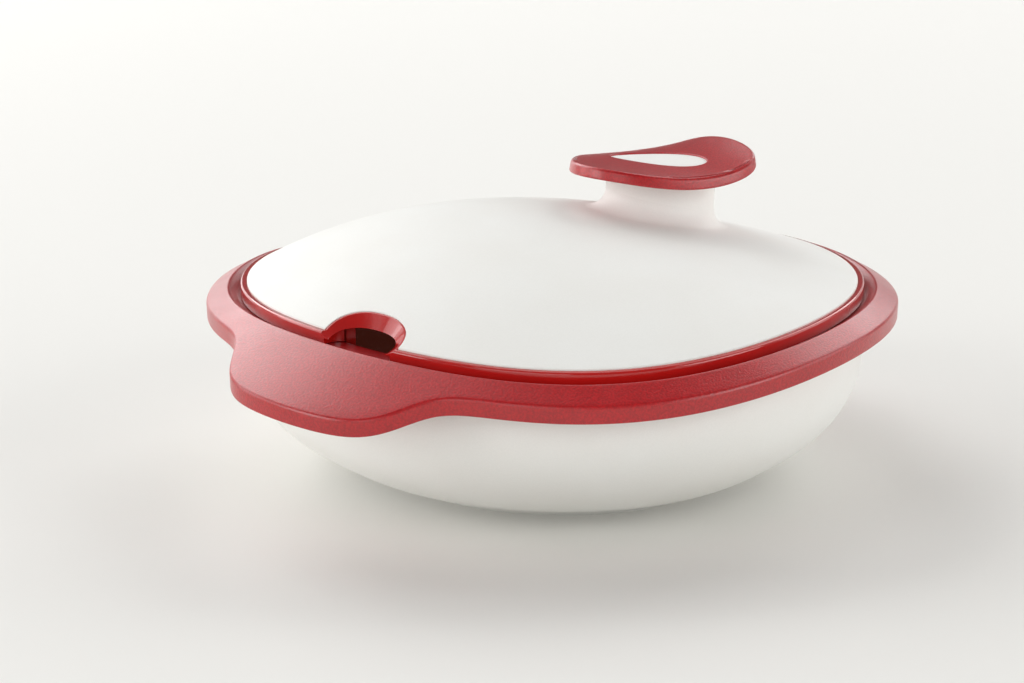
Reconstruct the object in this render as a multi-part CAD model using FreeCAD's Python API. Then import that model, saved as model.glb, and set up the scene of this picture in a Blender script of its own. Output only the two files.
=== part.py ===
import FreeCAD, Part
import math
import os

# Insulated round casserole with a lift-off lid (mm, +Z up, +X through a handle).
# The rim, the lid and the knob are all bent into the same kind of shallow saddle:
# two opposite quarters of the edge rise, the other two fall.

# ---- driving dimensions -------------------------------------------------------
RIM_R = 130.0             # rim ring, outer radius
RIM_Z = 66.0              # mean height of the rim's outer crease above the table
SADDLE = 4.68             # rise and fall of the rim crease between the quarters
SADDLE_LIFT = 1.69        # extra lift on the handle axis and across it
RIM_TOP = 8.2             # width of the ring's outer slope
RIM_INNER = 3.8           # width of the ring's inner slope
RIM_SLOPE = 0.573         # fall of the ring's top per mm of radius
RIM_SIDE = 6.3            # height of the ring's outer side
RIM_SKIN = 2.5            # moulded wall of the ring
RIM_EDGE = 0.9            # rounding of the ring's crease
RIM_TUCK = 0.2            # how far the ring's side leans in
RIM_SEAT = 2.0            # ledge the lid rests on, above the inner bowl's flange
TAB_REACH = 19.8          # handle tab beyond the rim
TAB_HALF = 16.4           # half angle of a tab, degrees
TAB_BLEND = 2.4           # softness of the tab's flanks, degrees
TAB_CROWN = 0.0005        # rounding of the tab's outer edge
BOWL_INSET = 0.3          # outer bowl inside the ring's opening
BOWL_WALL = 2.4           # outer bowl wall
BOWL_FOOT = 0.5395        # foot radius as a share of the bowl's radius
BOWL_STEEP = 2.88         # how long the side stays upright before it turns in
BOWL_OVAL = 0.036         # the foot is narrower along the handles by this share
BOWL_OVAL_FALL = 1.85     # how late the oval sets in on the way down
SHOULDER = 6.0            # depth below the crease where the bowl starts to turn in
FOOT_RECESS = 1.0         # hollow under the foot
FOOT_RING = 6.0           # width of the ring the bowl stands on
PLUG_R = 9.0              # foam filling plug in the foot
PLUG_HEAD = 2.0           # the plug's head beyond its hole
PLUG_LIFT = 0.2           # the plug's head above the table
FOAM_WALL = 6.3           # foam between the bowls under the rim
FOAM_FLOOR = 7.1          # foam between the bowls at the floor
LINER_WALL = 2.0          # inner bowl wall
FLOOR_INSET = 4.1         # inner floor radius, bend included, inside the foot
FLOOR_BEND = 14.0         # bend between the inner bowl's side and its floor
FLANGE = 2.2              # thickness of the inner bowl's flange
FLANGE_EDGE = 0.8         # bevel of the flange's edges
FLANGE_GAP = 0.25         # flange edge to the ring's web
LID_PLAY = 0.8            # lid inside the ring's opening
LINER_RIM = 2.4           # width of the liner's visible rim
LINER_RIM_Z = 6.7         # top of that rim above the crease
LINER_EDGE = 0.7          # rounding of that rim
LINER_SKIN = 2.2          # lid liner wall
COVER_STEP = 0.54         # white cover above the liner's rim
COVER_EDGE = 0.45         # rounding of the cover's edge
LID_RISE = 26.8           # height of the dome over its edge
LID_LEAN = 7.0            # how far the dome leans away from the knob
LID_LEAN_TURN = -53.0     # direction the dome falls to, degrees
LID_WALL = 2.4            # cover wall
LID_EDGE_DEPTH = 1.94     # cover face to liner underside at the edge
LID_CORE = 12.9           # extra depth between them in the middle
LID_FOAM_EDGE = 17.7      # edge of the lid's foam inside the cover's edge
LID_GAP = 0.3             # lid to bowl seat
LIP_DROP = 4.0            # locating lip below the seat
LIP_PLAY = 0.5            # locating lip to the inner bowl
NOTCH_IN = 1.3            # centre of the spoon notch inside the cover's edge
NOTCH_TURN = 181.9        # direction of the notch, degrees
NOTCH_DEEP = 12.0         # half size along the radius
NOTCH_WIDE = 16.2         # half size across
NOTCH_SQUARE = 2.3        # squareness of the notch outline
NOTCH_BAND = 3.4          # width of the sloping band that lines it
NOTCH_BRIM = 0.3          # band left where its slope meets the cover's face
NOTCH_SKIN = 1.4          # wall under the band
NOTCH_SINK = 0.4          # band below the cover's face
NOTCH_FOAM = 1.0          # foam kept away from the notch
KNOB_X, KNOB_Y = 42.0, -22.5   # knob centre
KNOB_TURN = -53.0         # knob frame, degrees
KNOB_Z = 50.4             # knob ring top at its centre, above the crease
KNOB_A, KNOB_B = 34.7, 33.3    # half sizes of the knob ring
KNOB_YAW = -17.8          # its long axis in the knob frame
KNOB_EGG = -0.48          # egg shape of the outline
KNOB_THICK = 4.4          # depth of the knob ring's side
KNOB_SKIN = 2.2           # moulded wall of the knob ring
KNOB_REACH = 30.0         # distance from the centre at which the next rises are given
KNOB_TILT_U, KNOB_TILT_V = 0.78, 2.67   # rise of the ring's top along its two axes
KNOB_BEND = 1.97          # rise to both ends of one axis, fall to both ends of the other
KNOB_TWIST = 5.31         # rise and fall between the axes
KNOB_CURL_U, KNOB_CURL_V = 1.17, -1.94  # late turn-up of the ends
KNOB_LIFT_U, KNOB_LIFT_V = 0.5, 0.56    # rise that grows with both axes
KNOB_SPREAD = 0.75        # how far the ring's side leans out to its foot
LEAF_A, LEAF_B = 18.9, 8.7     # half sizes of the leaf-shaped hole
LEAF_U, LEAF_V = -2.0, -2.9    # offset of the leaf from the knob centre
CAP_SINK = 0.5            # knob cap below the ring's top
NECK_A, NECK_B = 22.2, 17.5    # half sizes of the neck
NECK_SHIFT = -1.8         # offset of the neck from the knob centre
NECK_YAW = 30.0           # long axis of the neck in the knob frame
NECK_WALL = 2.4           # neck wall
NECK_FLARE = 7.0          # blend from the neck into the dome
STEM_R = 4.0              # stem of the knob cap
STEM_TIP = 2.0            # stem below the neck's roof
FIT = 0.05                # gap between pieces that are pressed or bonded together

# sizes that follow
RIM_CREST_R = RIM_R - RIM_TOP
SEAT_R = RIM_CREST_R - RIM_INNER
BOWL_R = SEAT_R - BOWL_INSET
BOWL_FOOT_R = BOWL_R * BOWL_FOOT
LINER_R = BOWL_R - BOWL_WALL - FOAM_WALL - LINER_WALL
LEDGE_R = LINER_R + FLANGE_EDGE
LID_SEAT = RIM_SEAT + LID_GAP
LINER_FLOOR_R = BOWL_FOOT_R - FLOOR_INSET
LINER_FLOOR_Z = FOOT_RECESS + BOWL_WALL + FOAM_FLOOR
LINER_RIM_R = SEAT_R - LID_PLAY
LID_R = LINER_RIM_R - LINER_RIM
LID_EDGE_Z = LINER_RIM_Z + COVER_STEP
SPAN = 1.25 * RIM_R       # half size of the saddle patches
FAR = 3 * RIM_R           # beyond every piece
RING_STEPS = 120          # points on the ring's closed curves
BOWL_STEPS = 48           # points on the bowl's closed curves
BOWL_HOOPS = 10           # hoops that shape a bowl's side
BEND_HOOPS = 3            # hoops that shape the bend to the floor


# ---- heights as polynomials {(power of x, power of y): factor} -----------------
def total(*terms):
    out = {}
    for poly in terms:
        for key, value in poly.items():
            out[key] = out.get(key, 0.0) + value
    return out


def raised(poly, dz):
    return total(poly, {(0, 0): dz})


def height(poly, x, y):
    return sum(c * x ** i * y ** j for (i, j), c in poly.items())


def saddle():
    a, b = SADDLE / RIM_R ** 2, SADDLE_LIFT / RIM_R ** 4
    return {(0, 0): RIM_Z, (1, 1): -2 * a, (4, 0): b, (2, 2): -6 * b, (0, 4): b}


def dome(rise, lean):
    """Saddle plus a paraboloid that leans, level with the saddle at the lid's edge."""
    turn = math.radians(LID_LEAN_TURN)
    cx, cy = -lean * math.cos(turn) / LID_R, -lean * math.sin(turn) / LID_R
    s = 1.0 / LID_R ** 2
    bulge = {(0, 0): rise, (2, 0): -rise * s, (0, 2): -rise * s}
    leaning = {(1, 0): cx, (0, 1): cy, (3, 0): -cx * s, (1, 2): -cx * s,
               (0, 3): -cy * s, (2, 1): -cy * s}
    return total(saddle(), bulge, leaning)


RIM = saddle()
COVER = raised(dome(LID_RISE, LID_LEAN), LID_EDGE_Z)
LINER = raised(dome(LID_RISE - LID_CORE, LID_LEAN), LID_EDGE_Z - LID_EDGE_DEPTH)


def bernstein(power, k):
    """Bezier coefficient k of t**power on [-SPAN, SPAN], degree 4."""
    return sum(math.comb(4 - k, power - j) * math.comb(k, j)
               * (-SPAN) ** (power - j) * SPAN ** j
               for j in range(power + 1)) / math.comb(4, power)


def below(poly, centre=(0.0, 0.0), turn=0.0):
    """Block whose top is exactly the polynomial surface."""
    patch = Part.BezierSurface()
    patch.increase(4, 4)
    for k in range(5):
        for m in range(5):
            z = sum(c * bernstein(i, k) * bernstein(j, m) for (i, j), c in poly.items())
            point = FreeCAD.Vector(SPAN * (k / 2 - 1), SPAN * (m / 2 - 1), z)
            patch.setPole(k + 1, m + 1, point)
    block = patch.toShape().extrude(FreeCAD.Vector(0, 0, -FAR))
    block.rotate(FreeCAD.Vector(), FreeCAD.Vector(0, 0, 1), turn)
    block.translate(FreeCAD.Vector(centre[0], centre[1], 0))
    return block


def between(low, high, shape, **place):
    return shape.common(below(high, **place)).cut(below(low, **place))


def rod(radius, z0=-FAR, z1=FAR):
    return Part.makeCylinder(radius, z1 - z0, FreeCAD.Vector(0, 0, z0))


def tube(outer, inner):
    return rod(outer).cut(rod(inner))


# ---- closed curves round the axis -----------------------------------------------
def closed_wire(points):
    curve = Part.BSplineCurve()
    curve.interpolate(Points=points, PeriodicFlag=True)
    return Part.Wire(curve.toShape())


def around(radius, level, steps):
    """Closed curve at radius(angle), at level above the saddle there."""
    points = []
    for k in range(steps):
        a = 2 * math.pi * k / steps
        r = radius(a)
        x, y = r * math.cos(a), r * math.sin(a)
        points.append(FreeCAD.Vector(x, y, height(RIM, x, y) + level(r)))
    return closed_wire(points)


def outline(angle):
    """Ring radius with a tab on either side."""
    turn = abs(math.degrees(math.remainder(angle, math.pi)))
    bump = (1 - TAB_CROWN * turn ** 2) / (1 + math.exp((turn - TAB_HALF) / TAB_BLEND))
    return RIM_R + TAB_REACH * max(bump, 0.0)


def slope(r):
    return RIM_SLOPE * (RIM_R - r)


def oval(a, b, power, centre=(0.0, 0.0), yaw=0.0, egg=0.0, z=-FAR, steps=48):
    """Closed superellipse; egg makes one end fuller than the other.

    The height z is a number, or a height for each point (x, y).
    """
    turn = math.radians(yaw)
    lift = z if callable(z) else lambda x, y: z
    points = []
    for k in range(steps):
        t = 2 * math.pi * k / steps
        c, s = math.cos(t), math.sin(t)
        u = a * math.copysign(abs(c) ** (2 / power), c)
        v = b * math.copysign(abs(s) ** (2 / power), s) * (1 + egg * c)
        x = centre[0] + u * math.cos(turn) - v * math.sin(turn)
        y = centre[1] + u * math.sin(turn) + v * math.cos(turn)
        points.append(FreeCAD.Vector(x, y, lift(x, y)))
    return closed_wire(points)


def prism(wire):
    return Part.Face(wire).extrude(FreeCAD.Vector(0, 0, 2 * FAR))


# ---- bowl -------------------------------------------------------------------------
def hoop(radius, z, squash=0.0):
    """Closed curve at one height, narrower along X by squash and wider along Y."""
    points = []
    for k in range(BOWL_STEPS):
        a = 2 * math.pi * k / BOWL_STEPS
        points.append(FreeCAD.Vector(radius * (1 - squash) * math.cos(a),
                                     radius * (1 + squash) * math.sin(a), z))
    return closed_wire(points)


def side(top_r, foot_r, foot_z, bend=0.0):
    """Hoops of a bowl's side: upright under the rim, turning in to an oval foot.

    With a bend the side runs on and levels out into a floor at foot_z.
    """
    shoulder = RIM_Z - SHOULDER
    spread = top_r - foot_r
    drop = bend * (shoulder - foot_z) / (2 * BOWL_STEEP * spread + bend)
    hoops = []
    for k in range(1, BOWL_HOOPS + 1):
        t = k / BOWL_HOOPS
        hoops.append(hoop(foot_r + spread * (1 - t ** BOWL_STEEP),
                          shoulder - t * (shoulder - foot_z - drop),
                          BOWL_OVAL * t ** BOWL_OVAL_FALL))
    for k in range(1, BEND_HOOPS + 1 if bend else 0):
        t = k / BEND_HOOPS
        hoops.append(hoop(foot_r - bend * t, foot_z + drop * (1 - t) ** 2, BOWL_OVAL))
    return hoops


def closed(*wires):
    """Solid between closed curves, level at both ends."""
    return solid(ruled(*wires) + [Part.Face(wires[0]), Part.Face(wires[-1])])


def brim(radius, level):
    return around(lambda a: radius, lambda r: level, BOWL_STEPS)


def wall(top, hoops):
    """Upright band under the rim's wavy edge, then one smooth face down to the foot."""
    return ruled(top, hoops[0]) + Part.makeLoft(hoops, False, False).Faces


def ruled(*wires):
    return [Part.makeRuledSurface(one.Edges[0], two.Edges[0])
            for one, two in zip(wires, wires[1:])]


def flat(outer, inner):
    """Level face with a hole."""
    return Part.makeFace([outer, inner], "Part::FaceMakerBullseye")


def solid(faces):
    shell = Part.makeShell(faces)
    shell.sewShape()
    return Part.makeSolid(shell)


def outer_shell():
    seat = -FLANGE - FIT
    inner_r, inner_foot, floor = BOWL_R - BOWL_WALL, BOWL_FOOT_R - BOWL_WALL / 2, shell_floor()
    top, top_in = brim(BOWL_R, seat), brim(inner_r, seat)
    out, inn = side(BOWL_R, BOWL_FOOT_R, 0.0), side(inner_r, inner_foot, floor)
    stand = BOWL_FOOT_R - FOOT_RING
    rings = [hoop(stand, 0.0), hoop(stand, FOOT_RECESS), hoop(PLUG_R, FOOT_RECESS),
             hoop(PLUG_R, floor)]
    foot = ruled(*rings[:2]) + ruled(*rings[2:])
    foot += [flat(out[-1], rings[0]), flat(rings[1], rings[2]), flat(inn[-1], rings[3])]
    return solid(wall(top, out) + foot + wall(top_in, inn) + ruled(top, top_in))


def shell_floor():
    return FOOT_RECESS + BOWL_WALL


def base_plug():
    head = rod(PLUG_R + PLUG_HEAD, PLUG_LIFT, FOOT_RECESS - FIT)
    return head.fuse(rod(PLUG_R - FIT, PLUG_LIFT, shell_floor())).removeSplitter()


def bowl_foam():
    seat = -FLANGE - FIT
    out_r, in_r = BOWL_R - BOWL_WALL - FIT, LINER_R + LINER_WALL + FIT
    out = side(out_r, BOWL_FOOT_R - BOWL_WALL / 2 - FIT, shell_floor() + FIT)
    inn = side(in_r, LINER_FLOOR_R + LINER_WALL / 2 + FIT, LINER_FLOOR_Z - FIT, FLOOR_BEND)
    top, top_in = brim(out_r, seat), brim(in_r, seat)
    return solid(wall(top, out) + wall(top_in, inn) + ruled(top, top_in)
                 + [Part.Face(out[-1]), Part.Face(inn[-1])])


def inner_bowl():
    out_r = LINER_R + LINER_WALL
    out = side(out_r, LINER_FLOOR_R + LINER_WALL / 2, LINER_FLOOR_Z, FLOOR_BEND)
    inn = side(LINER_R, LINER_FLOOR_R, LINER_FLOOR_Z + LINER_WALL, FLOOR_BEND)
    edge = SEAT_R + RIM_SKIN - FLANGE_GAP
    lips = [brim(out_r, -FLANGE), brim(edge, -FLANGE), brim(edge, -FLANGE_EDGE),
            brim(edge - FLANGE_EDGE, 0.0), brim(LINER_R + FLANGE_EDGE, 0.0),
            brim(LINER_R, -FLANGE_EDGE)]
    return solid(wall(lips[0], out) + wall(lips[-1], inn) + ruled(*lips)
                 + [Part.Face(out[-1]), Part.Face(inn[-1])])


# ---- rim ring: ruled bands between closed curves -----------------------------------
def steady(radius):
    return lambda angle: radius


def inside(inset):
    return lambda angle: outline(angle) - inset


def above(rise):
    """Level at a fixed height above the saddle."""
    return lambda r: rise


def under(drop):
    """Level that falls outwards with the ring's top, drop below it."""
    return lambda r: slope(r) - drop


def rim_ring():
    web = SEAT_R + RIM_SKIN
    ceiling = RIM_SKIN + RIM_TUCK
    bands = [
        (steady(LEDGE_R), above(FIT)),
        (steady(LEDGE_R), above(RIM_SEAT)),
        (steady(SEAT_R), above(RIM_SEAT)),
        (steady(RIM_CREST_R - RIM_EDGE / 2), above(slope(RIM_CREST_R) - RIM_EDGE / 2)),
        (steady(RIM_CREST_R + RIM_EDGE / 2), under(0.0)),
        (inside(RIM_EDGE), under(0.0)),
        (inside(RIM_EDGE * 0.3), under(RIM_EDGE * 0.25)),
        (inside(0.0), under(RIM_EDGE * 0.8)),
        (inside(RIM_TUCK), under(RIM_SIDE)),
        (inside(RIM_SKIN), under(RIM_SIDE)),
        (inside(RIM_SKIN), under(ceiling)),
        (steady(web + RIM_SKIN), under(ceiling)),
        (steady(web + RIM_SKIN), above(-RIM_SIDE)),
        (steady(web), above(-RIM_SIDE)),
        (steady(web), above(FIT)),
    ]
    wires = [around(radius, level, RING_STEPS) for radius, level in bands]
    return solid(ruled(*wires, wires[0]))


# ---- lid --------------------------------------------------------------------------
def notch(inset, z=-FAR):
    turn, radius = math.radians(NOTCH_TURN), LID_R - NOTCH_IN
    return oval(NOTCH_DEEP - inset, NOTCH_WIDE - inset, NOTCH_SQUARE,
                (radius * math.cos(turn), radius * math.sin(turn)), NOTCH_TURN, z=z)


def knob_top():
    """Twisted saddle of the knob, in the knob's own frame."""
    one, two, three = KNOB_REACH, KNOB_REACH ** 2, KNOB_REACH ** 3
    return {(0, 0): RIM_Z + KNOB_Z, (1, 0): KNOB_TILT_U / one, (0, 1): KNOB_TILT_V / one,
            (2, 0): KNOB_BEND / two, (0, 2): -KNOB_BEND / two, (1, 1): KNOB_TWIST / two,
            (3, 0): KNOB_CURL_U / three, (0, 3): KNOB_CURL_V / three,
            (1, 2): KNOB_LIFT_U / three, (2, 1): KNOB_LIFT_V / three}


KNOB_PLACE = dict(centre=(KNOB_X, KNOB_Y), turn=KNOB_TURN)


def from_knob(u, v):
    """Point (x, y) at u, v in the knob's frame."""
    turn = math.radians(KNOB_TURN)
    return (KNOB_X + u * math.cos(turn) - v * math.sin(turn),
            KNOB_Y + u * math.sin(turn) + v * math.cos(turn))


def knob_height(x, y, rise=0.0):
    turn = math.radians(KNOB_TURN)
    dx, dy = x - KNOB_X, y - KNOB_Y
    return rise + height(knob_top(), dx * math.cos(turn) + dy * math.sin(turn),
                         dy * math.cos(turn) - dx * math.sin(turn))


def column(inset):
    return prism(oval(NECK_A - inset, NECK_B - inset, 2.0, from_knob(NECK_SHIFT, 0.0),
                      KNOB_TURN + NECK_YAW))


def neck_form(inset, top):
    return column(inset).common(below(raised(knob_top(), top), **KNOB_PLACE))


def middle(edge):
    return edge.valueAt((edge.FirstParameter + edge.LastParameter) / 2)


def rounded(shape, top, radius, size):
    """The shape with the edge between its top and its outer side rounded."""
    rims = []
    for edge in shape.Edges:
        p = middle(edge)
        on_top = abs(p.z - height(top, p.x, p.y)) < FIT
        if on_top and abs(math.hypot(p.x, p.y) - radius) < FIT:
            rims.append(edge)
    return shape.makeFillet(size, rims)


def lid_shell():
    cover = between(raised(COVER, -LID_WALL), COVER, rod(LID_R))
    cover = rounded(cover, COVER, LID_R, COVER_EDGE)
    neck = neck_form(0.0, -KNOB_THICK - FIT).cut(below(raised(COVER, -LID_WALL)))
    lid = cover.fuse(neck).removeSplitter()
    foot = [e for e in lid.Edges if on_neck(e)]
    lid = lid.makeFillet(NECK_FLARE, foot)
    bore = neck_form(NECK_WALL, -KNOB_THICK - FIT - NECK_WALL)
    lid = lid.cut(bore).cut(prism(notch(0.0)))
    return lid.cut(stem(FIT))


def on_neck(edge):
    """True for the edge where the neck meets the dome's outer face."""
    p = middle(edge)
    x, y = from_knob(NECK_SHIFT, 0.0)
    near = math.hypot(p.x - x, p.y - y) < NECK_A + NECK_WALL
    return near and abs(p.z - height(COVER, p.x, p.y)) < FIT


def stem(extra):
    at = FreeCAD.Vector(KNOB_X, KNOB_Y, RIM_Z + KNOB_Z - KNOB_THICK - NECK_WALL - STEM_TIP)
    return Part.makeCylinder(STEM_R + extra, KNOB_THICK + NECK_WALL, at)


def lid_liner():
    pan = between(LINER, raised(LINER, LINER_SKIN), rod(LID_R))
    inside_pan = raised(LINER, LINER_SKIN / 2)
    rim = tube(LINER_RIM_R, LID_R + FIT)
    rim = between(raised(RIM, LID_SEAT), raised(RIM, LINER_RIM_Z), rim)
    rim = rounded(rim, raised(RIM, LINER_RIM_Z), LINER_RIM_R, LINER_EDGE)
    step = tube(LID_R + LINER_RIM / 2, LID_R - LINER_SKIN)
    step = between(raised(RIM, LID_SEAT), raised(COVER, -LID_WALL - FIT), step)
    lip_r = LINER_R - LIP_PLAY
    lip = between(raised(RIM, -LIP_DROP), inside_pan, tube(lip_r, lip_r - LINER_SKIN))
    lip = lip.cut(prism(notch(0.0)))
    collar = prism(notch(FIT)).common(rod(LINER_RIM_R))
    band = between(LINER, raised(COVER, -NOTCH_SINK), collar.common(rod(LID_R)))
    beside = collar.cut(rod(LINER_R + LINER_SKIN / 2))
    sides = between(raised(RIM, LID_SEAT), inside_pan, beside)
    pan = pan.common(below(raised(COVER, -LID_WALL - FIT)))
    liner = pan.multiFuse([rim, step, lip, band, sides]).removeSplitter()
    below_band = prism(notch(NOTCH_SKIN)).common(below(LINER))
    return liner.cut(notch_funnel()).cut(below_band)


def notch_funnel():
    """Opening that flares from the liner's underside out to the cover's edge."""
    lip = notch(NOTCH_BAND, lambda x, y: height(LINER, x, y))
    edge = notch(NOTCH_BRIM, lambda x, y: height(COVER, x, y))
    return closed(notch(NOTCH_BAND), lip, edge, notch(NOTCH_BRIM, FAR))


def lid_foam():
    lens = between(raised(LINER, LINER_SKIN + FIT), raised(COVER, -LID_WALL - FIT),
                   rod(LID_R - LID_FOAM_EDGE))
    return lens.cut(prism(notch(-NOTCH_FOAM)))


# ---- knob -------------------------------------------------------------------------
def knob_outline(inset=0.0, z=-FAR):
    return oval(KNOB_A - inset, KNOB_B - inset, 2.0, from_knob(0.0, 0.0),
                KNOB_TURN + KNOB_YAW, KNOB_EGG, z)


def knob_offset():
    yaw = math.radians(KNOB_YAW)
    return (LEAF_U * math.cos(yaw) - LEAF_V * math.sin(yaw),
            LEAF_U * math.sin(yaw) + LEAF_V * math.cos(yaw))


def leaf(inset):
    return prism(oval(LEAF_A - inset, LEAF_B - inset, 2.0, from_knob(*knob_offset()),
                      KNOB_TURN + KNOB_YAW))


def knob_plate():
    """Column whose side leans out all round below the knob's top."""
    foot, head = (knob_outline(-KNOB_SPREAD * k, lambda x, y, k=k: knob_height(x, y, -KNOB_THICK * k))
                  for k in (2, -1))
    return closed(knob_outline(-KNOB_SPREAD * 2, 0.0), foot, head, knob_outline(KNOB_SPREAD, FAR))


def knob_ring():
    """Plate with a rolled edge, hollow underneath round the neck and the leaf."""
    ring = between(raised(knob_top(), -KNOB_THICK), knob_top(), knob_plate(), **KNOB_PLACE)
    ring = ring.cut(leaf(0.0))
    rims = sorted(ring.Edges, key=lambda e: e.Length)[-2:]
    ring = ring.makeFillet(RIM_EDGE, rims)
    pocket = prism(knob_outline(KNOB_SKIN))
    pocket = pocket.cut(column(-KNOB_SKIN)).cut(leaf(-KNOB_SKIN))
    return ring.cut(between(raised(knob_top(), -2 * KNOB_THICK), raised(knob_top(), -KNOB_SKIN),
                            pocket, **KNOB_PLACE))


def knob_cap():
    top = raised(knob_top(), -CAP_SINK)
    cap = between(raised(knob_top(), -KNOB_THICK), top, leaf(FIT), **KNOB_PLACE)
    return cap.fuse(stem(0.0)).removeSplitter()


PIECES = {
    "outer_shell": outer_shell,
    "base_plug": base_plug,
    "bowl_foam": bowl_foam,
    "inner_bowl": inner_bowl,
    "rim_ring": rim_ring,
    "lid_shell": lid_shell,
    "lid_liner": lid_liner,
    "lid_foam": lid_foam,
    "knob_ring": knob_ring,
    "knob_cap": knob_cap,
}

os.makedirs("parts", exist_ok=True)
for name, make in PIECES.items():
    shape = make()
    shape = shape.Solids[0] if len(shape.Solids) == 1 else shape
    print(name, shape.ShapeType, shape.isValid(), len(shape.Solids), round(shape.Volume),
          [round(v, 1) for v in (shape.BoundBox.XMin, shape.BoundBox.XMax, shape.BoundBox.YMin,
                                 shape.BoundBox.YMax, shape.BoundBox.ZMin, shape.BoundBox.ZMax)])
    shape.exportStep(f"parts/{name}.step")
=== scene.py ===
"""Insulated round casserole with a lift-off lid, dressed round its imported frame.

The bowl, its red rim ring, the domed lid and the looped knob are dressed piece by piece.
Each sub-assembly is a class with its sizes in metres as fields, +Z is up, and +X runs
through one of the two handle tabs.
"""
import logging
import math
from dataclasses import dataclass
from enum import Enum
from typing import Callable, Optional

import bmesh
import bpy
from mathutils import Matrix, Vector


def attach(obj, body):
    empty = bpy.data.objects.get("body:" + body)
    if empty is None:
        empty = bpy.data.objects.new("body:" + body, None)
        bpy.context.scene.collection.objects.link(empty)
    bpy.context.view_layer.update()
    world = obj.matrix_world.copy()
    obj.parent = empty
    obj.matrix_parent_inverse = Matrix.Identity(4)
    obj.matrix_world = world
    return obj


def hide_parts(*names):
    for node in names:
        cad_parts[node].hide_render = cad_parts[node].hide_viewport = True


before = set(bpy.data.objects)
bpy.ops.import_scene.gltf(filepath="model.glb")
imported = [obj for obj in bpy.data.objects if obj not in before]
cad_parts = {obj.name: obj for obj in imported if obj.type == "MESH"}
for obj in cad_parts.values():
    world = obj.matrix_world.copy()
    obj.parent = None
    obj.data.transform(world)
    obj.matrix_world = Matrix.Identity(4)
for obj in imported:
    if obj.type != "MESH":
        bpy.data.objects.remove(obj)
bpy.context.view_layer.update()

LOG = logging.getLogger("casserole")
MERGE = 1e-6  # distance under which two points are one
MIX_SHARE, MIX_LOW, MIX_HIGH, MIX_RESULT = 0, 6, 7, 2  # the Mix node's sockets for colours

Colour = tuple[float, float, float, float]
Line = Callable[[float], Vector]  # point of a closed line at a turn, in radians
Shares = tuple[float, ...]        # places between two lines, as shares of the way


class Slot(Enum):
    """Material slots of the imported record."""

    WHITE_SATIN = "white_satin"
    WHITE_INNER = "white_inner"
    RED_MATT = "red_matt"
    RED_GLOSS = "red_gloss"
    FOAM = "foam"


class Body(Enum):
    """Bodies that the pieces ride on."""

    BOWL = "bowl"
    LID = "lid"


def linear(red: int, green: int, blue: int) -> Colour:
    """Scene-linear colour of a display colour.

    Args:
        red: Red channel, 0 to 255.
        green: Green channel, 0 to 255.
        blue: Blue channel, 0 to 255.

    Returns:
        The colour with an alpha of 1.
    """
    def channel(value: int) -> float:
        """One channel in scene-linear light."""
        share = value / 255.0
        return share / 12.92 if share <= 0.04045 else ((share + 0.055) / 1.055) ** 2.4

    return channel(red), channel(green), channel(blue), 1.0


# ---- finishes -------------------------------------------------------------------------


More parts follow.
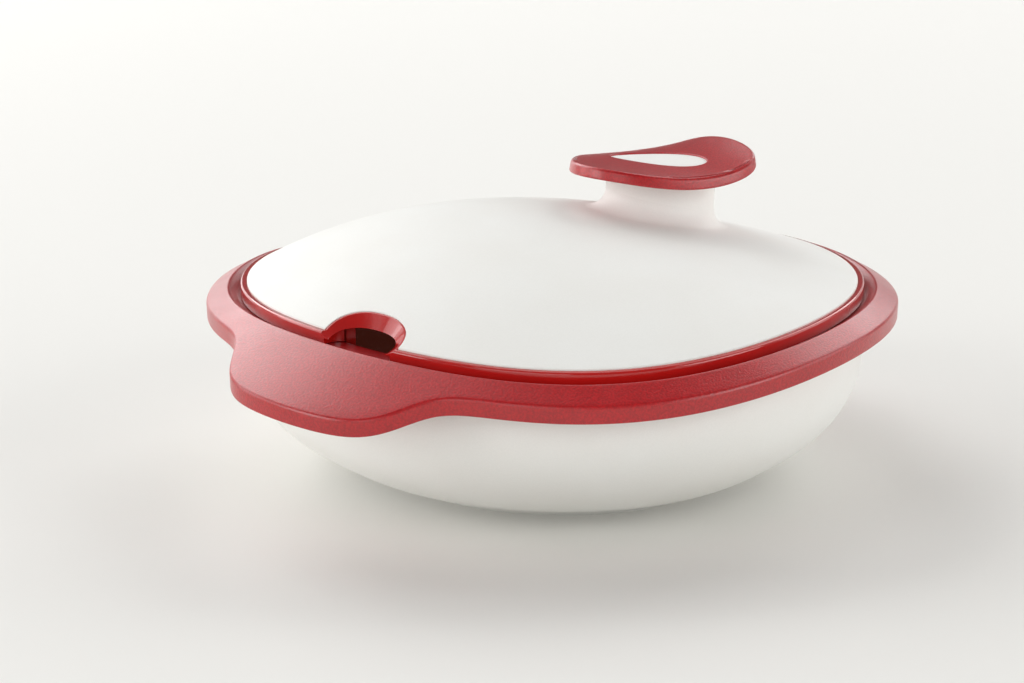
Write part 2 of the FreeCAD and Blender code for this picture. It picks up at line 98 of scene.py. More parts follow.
class Graph:
    """Short-hand for the node tree of one material."""

    def __init__(self, name: str) -> None:
        """Starts a material with an empty tree.

        Args:
            name: Name of the material.
        """
        self.material = bpy.data.materials.new(name)
        self.material.use_nodes = True
        self.tree = self.material.node_tree
        self.tree.nodes.clear()
        self.coordinates = self.add("ShaderNodeTexCoord").outputs["Object"]

    def add(self, kind: str, **settings: object) -> bpy.types.Node:
        """Adds a node.

        Args:
            kind: Blender's type name of the node.
            **settings: Attributes set on the node.

        Returns:
            The new node.
        """
        node = self.tree.nodes.new(kind)
        for key, value in settings.items():
            setattr(node, key, value)
        return node

    def link(self, source: bpy.types.NodeSocket, target: bpy.types.NodeSocket) -> None:
        """Joins an output to an input."""
        self.tree.links.new(source, target)

    def shader(self) -> bpy.types.Node:
        """Adds the surface's shader and joins it to the output.

        Returns:
            The shader.
        """
        node = self.add("ShaderNodeBsdfPrincipled")
        self.link(node.outputs["BSDF"], self.add("ShaderNodeOutputMaterial").inputs["Surface"])
        return node

    def noise(self, size: float, detail: float = 2.0, roughness: float = 0.5,
              stretch: tuple[float, float, float] = (1.0, 1.0, 1.0)) -> bpy.types.NodeSocket:
        """Noise over the object's own coordinates.

        Args:
            size: Size of a blotch, in metres.
            detail: Octaves of the noise.
            roughness: Weight of the finer octaves.
            stretch: Scale of the pattern along each axis.

        Returns:
            The noise value, 0 to 1.
        """
        place = self.add("ShaderNodeMapping")
        place.inputs["Scale"].default_value = stretch
        self.link(self.coordinates, place.inputs["Vector"])
        node = self.add("ShaderNodeTexNoise")
        node.inputs["Scale"].default_value = 1.0 / size
        node.inputs["Detail"].default_value = detail
        node.inputs["Roughness"].default_value = roughness
        self.link(place.outputs["Vector"], node.inputs["Vector"])
        return node.outputs["Fac"]

    def spread(self, noise: bpy.types.NodeSocket, low: float, high: float,
               reach: float = 0.2) -> bpy.types.NodeSocket:
        """Maps the middle of a noise to low..high, clamped.

        Args:
            noise: The noise, most of which lies near 0.5.
            low: Lowest result.
            high: Highest result.
            reach: How far the middle goes to either side of 0.5.

        Returns:
            The mapped value.
        """
        node = self.add("ShaderNodeMapRange")
        for name, number in (("From Min", 0.5 - reach), ("From Max", 0.5 + reach),
                             ("To Min", low), ("To Max", high)):
            node.inputs[name].default_value = number
        self.link(noise, node.inputs["Value"])
        return node.outputs["Result"]

    def blend(self, share: bpy.types.NodeSocket, low: Colour, high: Colour) -> bpy.types.NodeSocket:
        """Colour between two colours.

        Args:
            share: 0 for the first colour, 1 for the second.
            low: First colour.
            high: Second colour.

        Returns:
            The mixed colour.
        """
        node = self.add("ShaderNodeMix", data_type="RGBA")
        node.inputs[MIX_LOW].default_value = low
        node.inputs[MIX_HIGH].default_value = high
        self.link(share, node.inputs[MIX_SHARE])
        return node.outputs[MIX_RESULT]

    def scaled(self, colour: bpy.types.NodeSocket,
               factor: bpy.types.NodeSocket) -> bpy.types.NodeSocket:
        """Colour made paler or deeper by a factor.

        Args:
            colour: The colour.
            factor: The factor, about 1.

        Returns:
            The scaled colour.
        """
        node = self.add("ShaderNodeVectorMath", operation="SCALE")
        self.link(colour, node.inputs[0])
        self.link(factor, node.inputs["Scale"])
        return node.outputs["Vector"]

    def bump(self, height: bpy.types.NodeSocket, depth: float,
             under: Optional[bpy.types.NodeSocket] = None) -> bpy.types.NodeSocket:
        """Surface normal shaped by a height.

        Args:
            height: Height, 0 to 1.
            depth: Depth of the relief, in metres.
            under: Normal to start from.

        Returns:
            The normal.
        """
        node = self.add("ShaderNodeBump")
        node.inputs["Strength"].default_value = 1.0
        node.inputs["Distance"].default_value = depth
        self.link(height, node.inputs["Height"])
        if under is not None:
            self.link(under, node.inputs["Normal"])
        return node.outputs["Normal"]


@dataclass(frozen=True)
class MouldedPlastic:
    """Injection-moulded plastic with a grained or polished skin.

    Attributes:
        name: Name of the material.
        light: Colour of the paler blotches.
        dark: Colour of the deeper blotches.
        roughness: Lowest and highest roughness over the surface.
        grain_size: Size of the mould grain, in metres.
        grain_depth: Depth of the mould grain, in metres.
        painted_grain_shade: Share by which the grain's tips are painted paler, as painted light, and
            its pits deeper, as painted shade.
        painted_grain_shade_reach: How far from the grain's middle the painted light on its tips and
            the painted shade in its pits begin.
        blotch_size: Size of the blotches of colour, in metres.
        smear_size: Size of the smears in the gloss, in metres.
        smear_stretch: Scale of the smears along each axis.
        wave_size: Size of the broad waviness, in metres.
        wave_depth: Depth of the broad waviness, in metres.
        specular: Specular level.
        coat: Strength of the clear gloss.
        coat_roughness: Blur of the clear gloss.
        scatter: Share of the light that spreads inside the plastic.
        scatter_depth: How far that light goes, in metres.
        painted_glow: Painted light: emission that lights the closed, unlit inside as if light came in
            through the wall.
        painted_glow_colour: Colour of that painted light.
    """

    name: str
    light: Colour
    dark: Colour
    roughness: tuple[float, float]
    grain_size: float
    grain_depth: float
    painted_grain_shade: float
    painted_grain_shade_reach: float = 0.15
    blotch_size: float = 0.045
    smear_size: float = 0.012
    smear_stretch: tuple[float, float, float] = (1.0, 1.0, 2.5)
    wave_size: float = 0.02
    wave_depth: float = 0.00004
    specular: float = 0.5
    coat: float = 0.0
    coat_roughness: float = 0.06
    scatter: float = 0.0
    scatter_depth: float = 0.002
    painted_glow: float = 0.0
    painted_glow_colour: Colour = linear(255, 140, 112)

    def build(self) -> bpy.types.Material:
        """Makes the material.

        Returns:
            The node material.
        """
        graph = Graph(self.name)
        shader = graph.shader()
        grain = graph.noise(self.grain_size, detail=2.0, roughness=0.6)
        self.colour(graph, shader, grain)
        self.surface(graph, shader, grain)
        for socket, value in (("Specular IOR Level", self.specular),
                              ("Coat Weight", self.coat),
                              ("Coat Roughness", self.coat_roughness),
                              ("Subsurface Weight", self.scatter),
                              ("Subsurface Scale", self.scatter_depth),
                              # Painted light: the emission makes the surface glow, though it is no
                              # lamp.
                              ("Emission Color", self.painted_glow_colour),
                              ("Emission Strength", self.painted_glow)):
            shader.inputs[socket].default_value = value
        return graph.material

    def colour(self, graph: Graph, shader: bpy.types.Node, grain: bpy.types.NodeSocket) -> None:
        """Gives the blotches their colour, and paints light on the grain's tips and shade in its
        pits.

        Args:
            graph: The material's graph.
            shader: Its shader.
            grain: The grain's height.
        """
        blotches = graph.spread(graph.noise(self.blotch_size, detail=3.0), 0.0, 1.0)
        # Painted light and shade: the colour is made paler on the grain's tips and deeper in its
        # pits.
        painted_grain_light_and_shade = graph.spread(grain, 1.0 - self.painted_grain_shade, 1.0 + self.painted_grain_shade, self.painted_grain_shade_reach)
        plastic = graph.blend(blotches, self.dark, self.light)
        graph.link(graph.scaled(plastic, painted_grain_light_and_shade), shader.inputs["Base Color"])

    def surface(self, graph: Graph, shader: bpy.types.Node, grain: bpy.types.NodeSocket) -> None:
        """Gives the skin its smears of gloss, its waviness and its grain.

        Args:
            graph: The material's graph.
            shader: Its shader.
            grain: The grain's height.
        """
        smears = graph.noise(self.smear_size, detail=4.0, roughness=0.6,
                             stretch=self.smear_stretch)
        graph.link(graph.spread(smears, *self.roughness), shader.inputs["Roughness"])
        waves = graph.bump(graph.noise(self.wave_size, detail=1.0), self.wave_depth)
        relief = graph.bump(grain, self.grain_depth, waves)
        graph.link(relief, shader.inputs["Normal"])
        graph.link(relief, shader.inputs["Coat Normal"])


FINISHES: dict[Slot, MouldedPlastic] = {
    Slot.WHITE_SATIN: MouldedPlastic(
        "satin_white_plastic", linear(239, 239, 235), linear(236, 235, 230), (0.5, 0.6),
        grain_size=0.0006, grain_depth=0.00001, painted_grain_shade=0.012, specular=0.35),
    # Painted light: the inner bowl glows faintly and warmly, so the shut cavity seen through the
    # notch is not black.
    Slot.WHITE_INNER: MouldedPlastic(
        "polished_white_plastic", linear(243, 242, 238), linear(236, 235, 231), (0.18, 0.28),
        grain_size=0.0012, grain_depth=0.000004, painted_grain_shade=0.01, painted_glow=0.012),
    Slot.RED_MATT: MouldedPlastic(
        "grained_red_plastic", linear(174, 16, 23), linear(165, 12, 18), (0.3, 0.38),
        grain_size=0.0008, grain_depth=0.0001, painted_grain_shade=0.2, coat=0.5, coat_roughness=0.3),
    # Painted light: the liner glows faintly, so its shaded inside is not black.
    Slot.RED_GLOSS: MouldedPlastic(
        "glossy_red_plastic", linear(186, 18, 16), linear(172, 13, 12), (0.14, 0.22),
        grain_size=0.002, grain_depth=0.000004, painted_grain_shade=0.02, coat=0.6, painted_glow=0.006),
    Slot.FOAM: MouldedPlastic(
        "foam_filling", linear(226, 214, 178), linear(208, 194, 152), (0.8, 0.95),
        grain_size=0.0015, grain_depth=0.0002, painted_grain_shade=0.08, scatter=0.1),
}


# ---- forms -------------------------------------------------------------------------------


@dataclass(frozen=True)
class Saddle:
    """Wavy surface that the rim and the lid's edge follow.

    Attributes:
        radius: Radius at which the waves are given.
        height: Mean height above the table.
        wave: Fall on one diagonal and rise on the other.
        lift: Rise on the handle axis and across it, and fall on the diagonals.
    """

    radius: float = 0.130
    height: float = 0.066
    wave: float = 0.00468
    lift: float = 0.00169

    def point(self, radius: float, turn: float, level: float) -> Vector:
        """Point over the saddle.

        Args:
            radius: Distance from the bowl's axis.
            turn: Angle round the axis, in radians.
            level: Height over the saddle.

        Returns:
            The point.
        """
        share = radius / self.radius
        lifted = self.lift * share ** 4 * math.cos(4 * turn)
        waved = -self.wave * share ** 2 * math.sin(2 * turn)
        return Vector((radius * math.cos(turn), radius * math.sin(turn),
                       self.height + lifted + waved + level))


def off_centre(centre: tuple[float, float], yaw: float, along: float,
               across: float) -> tuple[float, float]:
    """Place in plan, given along and across a turned axis.

    Args:
        centre: Where the axis starts.
        yaw: Direction of the axis, in degrees.
        along: Distance along the axis.
        across: Distance across it.

    Returns:
        The place.
    """
    turn = math.radians(yaw)
    return (centre[0] + along * math.cos(turn) - across * math.sin(turn),
            centre[1] + along * math.sin(turn) + across * math.cos(turn))


@dataclass(frozen=True)
class Oval:
    """Ellipse in plan, with one end fuller than the other.

    Attributes:
        centre: Centre in plan.
        length: Half length.
        width: Half width.
        yaw: Direction of its length, in degrees.
        egg: Share by which the far end is wider, or narrower.
    """

    centre: tuple[float, float]
    length: float
    width: float
    yaw: float
    egg: float = 0.0

    def at(self, turn: float, inset: float = 0.0) -> Vector:
        """Point of the outline in plan.

        Args:
            turn: Angle round the oval from its length, in radians.
            inset: Distance inside the outline.

        Returns:
            The point, at height 0.
        """
        along = (self.length - inset) * math.cos(turn)
        across = (self.width - inset) * math.sin(turn) * (1 + self.egg * math.cos(turn))
        return Vector((*off_centre(self.centre, self.yaw, along, across), 0.0))


@dataclass(frozen=True)
class Rounding:
    """Rounded crease.

    Attributes:
        width: Width taken from the faces on either side.
        segments: Faces across the rounding.
    """

    width: float
    segments: int


def new_piece(name: str, mesh: bmesh.types.BMesh) -> bpy.types.Object:
    """Makes an object of a finished mesh, at the origin, and lets the mesh go.

    Args:
        name: Name of the piece.
        mesh: The mesh.

    Returns:
        The object.
    """
    data = bpy.data.meshes.new(name)
    mesh.to_mesh(data)
    mesh.free()
    piece = bpy.data.objects.new(name, data)
    bpy.context.scene.collection.objects.link(piece)
    return piece


class Loft:
    """Closed skin drawn out of one ring of edges, line by line.

    Every point keeps the turn it started with, so that a line is a formula of the turn.
    """

    def __init__(self, name: str, steps: int, start: Line) -> None:
        """Lays the first line.

        Args:
            name: Name of the piece.
            steps: Points on each line.
            start: The first line.
        """
        self.name = name
        self.mesh = bmesh.new()
        bmesh.ops.create_circle(self.mesh, segments=steps, radius=1.0)
        self.turn = self.mesh.verts.layers.float.new("turn")
        for vert in self.mesh.verts:
            vert[self.turn] = math.atan2(vert.co.y, vert.co.x)
            vert.co = start(vert[self.turn])
        self.edges = list(self.mesh.edges)
        self.start = self.last = start

    def draw(self, line: Line, between: Shares = ()) -> list[bmesh.types.BMEdge]:
        """Draws the skin on to a new line.

        Args:
            line: The new line.
            between: Where the skin gets more lines on the way.

        Returns:
            The edges of the new line.
        """
        for share in (*between, 1.0):
            made = bmesh.ops.extrude_edge_only(self.mesh, edges=self.edges)["geom"]
            fresh = {part for part in made if isinstance(part, bmesh.types.BMVert)}
            for vert in fresh:
                turn = vert[self.turn]
                vert.co = self.last(turn).lerp(line(turn), share)
            self.edges = [part for part in made if isinstance(part, bmesh.types.BMEdge)
                          and fresh.issuperset(part.verts)]
        self.last = line
        return self.edges

    def soften(self, edges: list[bmesh.types.BMEdge], crease: Rounding) -> None:
        """Rounds a line of the skin.

        Args:
            edges: The line's edges.
            crease: How it is rounded.
        """
        bmesh.ops.bevel(self.mesh, geom=edges, offset=crease.width, offset_type="OFFSET",
                        segments=crease.segments, profile=0.5, affect="EDGES", material=-1)

    def close(self) -> bpy.types.Object:
        """Joins the skin's end to its start.

        Returns:
            The piece, with smooth faces that point outwards.
        """
        self.draw(self.start)
        bmesh.ops.remove_doubles(self.mesh, verts=self.mesh.verts[:], dist=MERGE)
        bmesh.ops.recalc_face_normals(self.mesh, faces=self.mesh.faces[:])
        for face in self.mesh.faces:
            face.smooth = True
        self.mesh.verts.layers.float.remove(self.turn)
        return new_piece(self.name, self.mesh)


# ---- sub-assemblies ---------------------------------------------------------------------


@dataclass
class Assembly:
    """Sub-assembly of the casserole.

    Attributes:
        materials: The finishes.
    """

    materials: dict[Slot, bpy.types.Material]

    def dress(self, piece: bpy.types.Object, slot: Slot) -> bpy.types.Object:
        """Gives a piece its one finish.

        Args:
            piece: The mesh object.
            slot: The record's slot that the finish belongs to.

        Returns:
            The piece.
        """
        piece.data.materials.clear()
        piece.data.materials.append(self.materials[slot])
        return piece

    def dress_nodes(self, nodes: dict[str, Slot]) -> list[bpy.types.Object]:
        """Gives nodes of the frame their finishes.

        Args:
            nodes: The slot of each node.

        Returns:
            The pieces.
        """
        return [self.dress(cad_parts[name], slot) for name, slot in nodes.items()]

    def stand_in(self, piece: bpy.types.Object, node: str, body: Body,
                 slot: Slot) -> bpy.types.Object:
        """Puts a modelled piece in the place of a node.

        Args:
            piece: The modelled piece.
            node: The node that it replaces.
            body: The body that it rides on.
            slot: The record's slot that its finish belongs to.

        Returns:
            The piece.
        """
        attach(piece, body.value)
        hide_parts(node)
        return self.dress(piece, slot)


@dataclass
class Bowl(Assembly):
    """Double-walled bowl with its foam and the plug in its foot."""

    def build(self) -> list[bpy.types.Object]:
        """Dresses the bowl's walls.

        Returns:
            The pieces.
        """
        return self.dress_nodes({"outer_shell": Slot.WHITE_SATIN, "base_plug": Slot.WHITE_SATIN,
                                 "inner_bowl": Slot.WHITE_INNER, "bowl_foam": Slot.FOAM})


@dataclass
class RimRing(Assembly):
    """Grained red ring with its two handle tabs.

    Attributes:
        saddle: Surface that the ring follows, to its outer radius.
        crest: Radius of the crest.
        seat: Radius of the opening over the ledge.
        ledge: Inner radius of the ledge the lid rests on.
        ledge_top: Height of the ledge over the saddle.
        fall: Fall of the outer slope per metre.
        side: Height of the outer side.
        skin: Moulded wall.
        tuck: How far the side leans in.
        tab_reach: Reach of a tab beyond the rim.
        tab_half: Half angle of a tab, in degrees.
        tab_blend: Softness of a tab's flanks, in degrees.
        tab_crown: Share of the reach lost per squared degree from a tab's middle.
        play: Gap to the bowl's flange below.
        steps: Points round the ring.
        ledge_lines: Lines across the ledge.
        inner_lines: Lines up the inner slope.
        outer_lines: Lines down the outer slope and out over the tabs.
        side_lines: Lines down the side.
        hollow_lines: Lines up the hollow behind the side.
        crest_round: Rounding of the crest.
        brow_round: Rounding between the outer slope and the side.
        hem_round: Rounding of the side's foot.
        hollow_round: Rounding of the foot's inner edge.
        ledge_round: Rounding of the ledge's inner edge.
    """

    saddle: Saddle = Saddle()
    crest: float = 0.1218
    seat: float = 0.118
    ledge: float = 0.1078
    ledge_top: float = 0.002
    fall: float = 0.573
    side: float = 0.0063
    skin: float = 0.0025
    tuck: float = 0.0002
    tab_reach: float = 0.0198
    tab_half: float = 16.4
    tab_blend: float = 2.4
    tab_crown: float = 0.0005
    play: float = 0.00005
    steps: int = 480
    ledge_lines: Shares = (0.15, 0.6)
    inner_lines: Shares = (0.3, 0.72)
    outer_lines: Shares = (0.13, 0.3, 0.5, 0.68, 0.8)
    side_lines: Shares = (0.25, 0.6, 0.85)
    hollow_lines: Shares = (0.3,)
    crest_round: Rounding = Rounding(0.0006, 4)
    brow_round: Rounding = Rounding(0.0009, 5)
    hem_round: Rounding = Rounding(0.0005, 3)
    hollow_round: Rounding = Rounding(0.0003, 2)
    ledge_round: Rounding = Rounding(0.0003, 2)

    def outline(self, turn: float) -> float:
        """Outer radius of the ring, with a tab on either side.

        Args:
            turn: Angle round the axis, in radians.

        Returns:
            The radius.
        """
        off = abs(math.degrees(math.remainder(turn, math.pi)))
        flank = 1 + math.exp((off - self.tab_half) / self.tab_blend)
        return self.saddle.radius + self.tab_reach * max((1 - self.tab_crown * off ** 2) / flank, 0.0)

    def level_line(self, radius: float, level: float) -> Line:
        """Round line at one height over the saddle."""
        return lambda turn: self.saddle.point(radius, turn, level)

    def sloping(self, radius: float, turn: float, drop: float) -> Vector:
        """Point under the outer slope by a drop."""
        return self.saddle.point(radius, turn, self.fall * (self.saddle.radius - radius) - drop)

    def slope_line(self, radius: float, drop: float) -> Line:
        """Round line under the outer slope."""
        return lambda turn: self.sloping(radius, turn, drop)

    def edge_line(self, inset: float, drop: float) -> Line:
        """Line inside the outline, under the outer slope."""
        return lambda turn: self.sloping(self.outline(turn) - inset, turn, drop)

    def ring(self) -> bpy.types.Object:
        """Draws the ring's section round the rim.

        Returns:
            The ring.
        """
        web, roof = self.seat + self.skin, self.skin + self.tuck
        loft = Loft("grained_rim", self.steps, self.level_line(self.ledge, self.play))
        ledge = loft.draw(self.level_line(self.ledge, self.ledge_top))
        loft.draw(self.level_line(self.seat, self.ledge_top), self.ledge_lines)
        crest = loft.draw(self.slope_line(self.crest, 0.0), self.inner_lines)
        brow = loft.draw(self.edge_line(0.0, 0.0), self.outer_lines)
        hem = loft.draw(self.edge_line(self.tuck, self.side), self.side_lines)
        inner_hem = loft.draw(self.edge_line(self.skin, self.side))
        loft.draw(self.edge_line(self.skin, roof), self.hollow_lines)
        loft.draw(self.slope_line(web + self.skin, roof))
        loft.draw(self.level_line(web + self.skin, -self.side))
        loft.draw(self.level_line(web, -self.side))
        loft.draw(self.level_line(web, self.play))
        for edges, crease in ((crest, self.crest_round), (brow, self.brow_round),
                              (hem, self.hem_round), (inner_hem, self.hollow_round),
                              (ledge, self.ledge_round)):
            loft.soften(edges, crease)
        return loft.close()

    def build(self) -> list[bpy.types.Object]:
        """Draws the ring and dresses it.

        Returns:
            The pieces.
        """
        return [self.stand_in(self.ring(), "rim_ring", Body.BOWL, Slot.RED_MATT)]


@dataclass
class Lid(Assembly):
    """Domed white cover with its neck, on a glossy red liner."""

    def build(self) -> list[bpy.types.Object]:
        """Dresses the lid.

        Returns:
            The pieces.
        """
        return self.dress_nodes({"lid_shell": Slot.WHITE_SATIN, "lid_liner": Slot.RED_GLOSS,
                                 "lid_foam": Slot.FOAM})


@dataclass
class Knob(Assembly):
    """Warped red loop round a white leaf-shaped cap.

    Attributes:
        centre: Centre in plan.
        turn: Direction of the knob's first axis, in degrees.
        height: Height of the loop's top at the centre.
        reach: Distance at which the rises are given.
        tilt: Rise along each axis.
        bend: Rise to the ends of the first axis, fall to those of the second.
        twist: Rise on one diagonal and fall on the other.
        curl: Rise along each axis, by the cube of the distance.
        lift: Rise with one axis and the square of the other, each way round.
        size: Half length and half width of the loop.
        yaw: Direction of the loop's length from the first axis, in degrees.
        egg: Share by which the loop's far end is wider, or narrower.
        leaf_size: Half length and half width of the hole for the cap.
        leaf_shift: Place of the hole, along and across the loop's length.
        neck_size: Half length and half width of the neck.
        neck_shift: Place of the neck, along and across the first axis.
        neck_yaw: Direction of the neck's length from the first axis, in degrees.
        thick: Depth of the side.
        spread: How far the side leans out.
        skin: Moulded wall.
        steps: Points round the loop.
        lip_lines: Lines up the side of the hole.
        top_lines: Lines across the top.
        side_lines: Lines down the side.
        hollow_lines: Lines up the hollow behind the side.
        lip_round: Rounding of the hole's upper edge.
        brow_round: Rounding between the top and the side.
        hem_round: Rounding of the side's foot.
        hollow_round: Rounding of the foot's inner edge.
    """

    centre: tuple[float, float] = (0.042, -0.0225)
    turn: float = -53.0
    height: float = 0.1164
    reach: float = 0.030
    tilt: tuple[float, float] = (0.00078, 0.00267)
    bend: float = 0.00197
    twist: float = 0.00531
    curl: tuple[float, float] = (0.00117, -0.00194)
    lift: tuple[float, float] = (0.0005, 0.00056)
    size: tuple[float, float] = (0.0347, 0.0333)
    yaw: float = -17.8
    egg: float = -0.48
    leaf_size: tuple[float, float] = (0.0189, 0.0087)
    leaf_shift: tuple[float, float] = (-0.002, -0.0029)
    neck_size: tuple[float, float] = (0.0222, 0.0175)
    neck_shift: tuple[float, float] = (-0.0018, 0.0)
    neck_yaw: float = 30.0
    thick: float = 0.0044
    spread: float = 0.00075
    skin: float = 0.0022
    steps: int = 240
    lip_lines: Shares = (0.6,)
    top_lines: Shares = (0.06, 0.2, 0.36, 0.52, 0.68, 0.82, 0.93)
    side_lines: Shares = (0.4, 0.7)
    hollow_lines: Shares = (0.4,)
    lip_round: Rounding = Rounding(0.0003, 3)
    brow_round: Rounding = Rounding(0.0012, 5)
    hem_round: Rounding = Rounding(0.0006, 4)
    hollow_round: Rounding = Rounding(0.0003, 2)

    @property
    def outline(self) -> Oval:
        """Outline of the loop's top."""
        return Oval(self.centre, *self.size, self.turn + self.yaw, self.egg)

    @property
    def leaf(self) -> Oval:
        """Outline of the hole for the cap."""
        yaw = self.turn + self.yaw
        return Oval(off_centre(self.centre, yaw, *self.leaf_shift), *self.leaf_size, yaw)

    @property
    def neck(self) -> Oval:
        """Outline of the collar round the neck."""
        return Oval(off_centre(self.centre, self.turn, *self.neck_shift), *self.neck_size,
                    self.turn + self.neck_yaw)

    def raised(self, spot: Vector, rise: float) -> Vector:
        """Point over the loop's warped top.

        Args:
            spot: Place in plan.
            rise: Height over the top.

        Returns:
            The point.
        """
        x, y = spot.x - self.centre[0], spot.y - self.centre[1]
        u, v = (part / self.reach for part in off_centre((0.0, 0.0), -self.turn, x, y))
        warp = (self.tilt[0] * u + self.tilt[1] * v + self.bend * (u * u - v * v)
                + self.twist * u * v + self.curl[0] * u ** 3 + self.curl[1] * v ** 3
                + self.lift[0] * u * v * v + self.lift[1] * u * u * v)
        return Vector((spot.x, spot.y, self.height + warp + rise))

    def line(self, oval: Oval, inset: float, rise: float, ahead: float = 0.0) -> Line:
        """Line of an outline under or over the top, ahead by an angle in radians."""
        return lambda turn: self.raised(oval.at(turn + ahead, inset), rise)

    def across(self, share: float) -> Line:
        """Line on the top between the leaf and the outline."""
        leaf, outline = self.leaf, self.outline
        return lambda turn: self.raised(leaf.at(turn).lerp(outline.at(turn), share), 0.0)

    def loop(self) -> bpy.types.Object:
        """Draws the loop's section round the leaf.

        Returns:
            The loop.
        """
        leaf, outline, neck = self.leaf, self.outline, self.neck
        ahead = math.radians(outline.yaw - neck.yaw)
        loft = Loft("knob_loop", self.steps, self.line(leaf, 0.0, -self.thick))
        lip = loft.draw(self.line(leaf, 0.0, 0.0), self.lip_lines)
        for share in self.top_lines:
            loft.draw(self.across(share))
        brow = loft.draw(self.across(1.0))
        hem = loft.draw(self.line(outline, -self.spread, -self.thick), self.side_lines)
        inner_hem = loft.draw(self.line(outline, self.skin, -self.thick))
        loft.draw(self.line(outline, self.skin, -self.skin), self.hollow_lines)
        loft.draw(self.line(neck, -self.skin, -self.skin, ahead))
        loft.draw(self.line(neck, -self.skin, -self.thick, ahead))
        for edges, crease in ((lip, self.lip_round), (brow, self.brow_round),
                              (hem, self.hem_round), (inner_hem, self.hollow_round)):
            loft.soften(edges, crease)
        return loft.close()

    def build(self) -> list[bpy.types.Object]:
        """Draws the loop and dresses it and the cap.

        Returns:
            The pieces.
        """
        loop = self.stand_in(self.loop(), "knob_ring", Body.LID, Slot.RED_MATT)
        return [loop, *self.dress_nodes({"knob_cap": Slot.WHITE_SATIN})]


# ---- studio ------------------------------------------------------------------------------


@dataclass(frozen=True)
class SoftBox:
    """Rectangular soft light that faces the casserole.

    Attributes:
        name: Which light it is.
        azimuth: Degrees from the camera's own azimuth.
        elevation: Degrees above the table.
        radiance: Brightness of its face.
        distance: Distance from the point that it faces.
        width: Width of its face.
        height: Height of its face.
    """

    name: str
    azimuth: float
    elevation: float
    radiance: float
    distance: float = 5.2
    width: float = 2.75
    height: float = 3.6


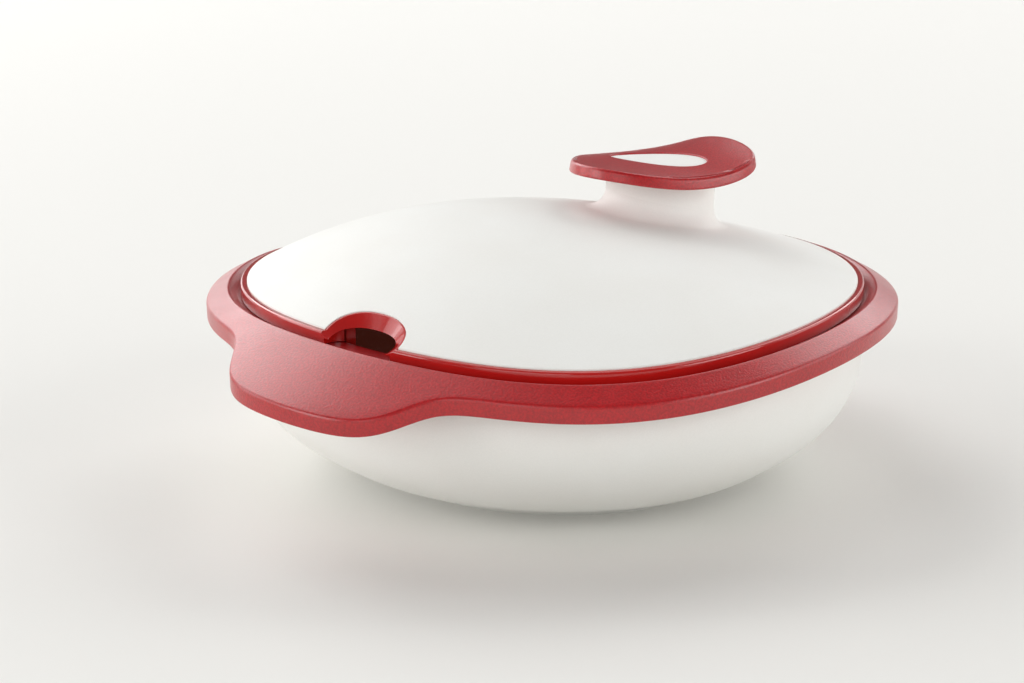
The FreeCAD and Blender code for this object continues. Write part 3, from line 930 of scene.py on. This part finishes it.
@dataclass
class Studio:
    """Pale floor, soft lights and the camera.

    Attributes:
        azimuth: Degrees from which the camera looks; 0 looks along +Y.
        elevation: Degrees above the table.
        distance: Distance from the target.
        target: Point that the camera and the lights face.
        lens: Focal length, in millimetres.
        shift: Shift of the picture, as shares of its width.
        floor_radius: Radius of the floor.
        floor_edges: Edges round the floor.
        floor_colour: Colour of the floor.
        floor_roughness: Roughness of the floor.
        floor_specular: Specular level of the floor.
        room: Brightness of the room's own light.
        boxes: The soft boxes.
    """

    azimuth: float = -53.0
    elevation: float = 13.52
    distance: float = 0.931
    target: tuple[float, float, float] = (0.0, 0.0, 0.066)
    lens: float = 86.27
    shift: tuple[float, float] = (-0.0394, -0.0436)
    floor_radius: float = 9.0
    floor_edges: int = 96
    floor_colour: Colour = linear(235, 234, 230)
    floor_roughness: float = 0.75
    floor_specular: float = 0.2
    room: float = 0.13
    boxes: tuple[SoftBox, ...] = (
        SoftBox("front", azimuth=-10.0, elevation=14.0, radiance=1.4),
        SoftBox("front_left", azimuth=-60.0, elevation=14.0, radiance=4.0),
        SoftBox("front_right", azimuth=60.0, elevation=14.0, radiance=3.6),
        SoftBox("low_left", azimuth=-100.0, elevation=14.0, radiance=2.3),
        SoftBox("low_right", azimuth=100.0, elevation=14.0, radiance=1.7),
        SoftBox("rear_low_left", azimuth=-150.0, elevation=14.0, radiance=1.35),
        SoftBox("rear_low_right", azimuth=150.0, elevation=14.0, radiance=0.55),
        SoftBox("side_left", azimuth=-120.0, elevation=38.0, radiance=1.55),
        SoftBox("side_right", azimuth=120.0, elevation=38.0, radiance=0.7),
        SoftBox("rear_left", azimuth=-150.0, elevation=38.0, radiance=2.3),
        SoftBox("rear_right", azimuth=150.0, elevation=38.0, radiance=2.2),
        SoftBox("high_left", azimuth=-120.0, elevation=66.0, radiance=1.0),
    )

    def back(self, azimuth: float, elevation: float) -> Vector:
        """Unit vector from the target towards a viewer.

        Args:
            azimuth: Degrees round +Z; 0 looks along +Y.
            elevation: Degrees above the horizon.

        Returns:
            The unit vector.
        """
        a, e = math.radians(azimuth), math.radians(elevation)
        return Vector((math.sin(a) * math.cos(e), -math.cos(a) * math.cos(e), math.sin(e)))

    def place(self, thing: bpy.types.Object, back: Vector, distance: float) -> None:
        """Puts a camera or a lamp in the scene so that it faces the target.

        Args:
            thing: The camera or lamp.
            back: Unit vector from the target towards it.
            distance: Distance from the target.
        """
        bpy.context.scene.collection.objects.link(thing)
        thing.location = Vector(self.target) + back * distance
        thing.rotation_mode = "QUATERNION"
        thing.rotation_quaternion = (-back).to_track_quat("-Z", "Y")

    def add_camera(self) -> None:
        """Sets up the camera."""
        data = bpy.data.cameras.new("camera")
        data.lens = self.lens
        data.shift_x, data.shift_y = self.shift
        camera = bpy.data.objects.new("camera", data)
        self.place(camera, self.back(self.azimuth, self.elevation), self.distance)
        bpy.context.scene.camera = camera

    def add_floor(self) -> None:
        """Lays the pale floor."""
        mesh = bmesh.new()
        bmesh.ops.create_circle(mesh, cap_ends=True, segments=self.floor_edges,
                                radius=self.floor_radius)
        floor = new_piece("floor", mesh)
        graph = Graph("pale_floor")
        shader = graph.shader()
        shader.inputs["Base Color"].default_value = self.floor_colour
        shader.inputs["Roughness"].default_value = self.floor_roughness
        shader.inputs["Specular IOR Level"].default_value = self.floor_specular
        floor.data.materials.append(graph.material)

    def add_lights(self) -> None:
        """Hangs the soft boxes and sets the room's own light."""
        world = bpy.data.worlds.new("room")
        world.use_nodes = True
        world.node_tree.nodes["Background"].inputs["Color"].default_value = (
            self.room, self.room, self.room, 1.0)
        bpy.context.scene.world = world
        for box in self.boxes:
            data = bpy.data.lights.new(f"soft_{box.name}", "AREA")
            data.shape = "RECTANGLE"
            data.size, data.size_y = box.width, box.height
            data.energy = math.pi * box.width * box.height * box.radiance
            lamp = bpy.data.objects.new(f"soft_{box.name}", data)
            self.place(lamp, self.back(self.azimuth + box.azimuth, box.elevation), box.distance)
            lamp.visible_camera = False

    def build(self) -> None:
        """Sets up floor, lights and camera."""
        self.add_floor()
        self.add_lights()
        self.add_camera()
        bpy.context.scene.view_settings.view_transform = "Standard"


def main() -> None:
    """Builds the casserole and its studio."""
    logging.basicConfig(level=logging.INFO)
    materials = {slot: finish.build() for slot, finish in FINISHES.items()}
    for assembly in (Bowl(materials), RimRing(materials), Lid(materials), Knob(materials)):
        for piece in assembly.build():
            LOG.info("%s: %s", type(assembly).__name__, piece.name)
    Studio().build()


if __name__ == "__main__":
    main()
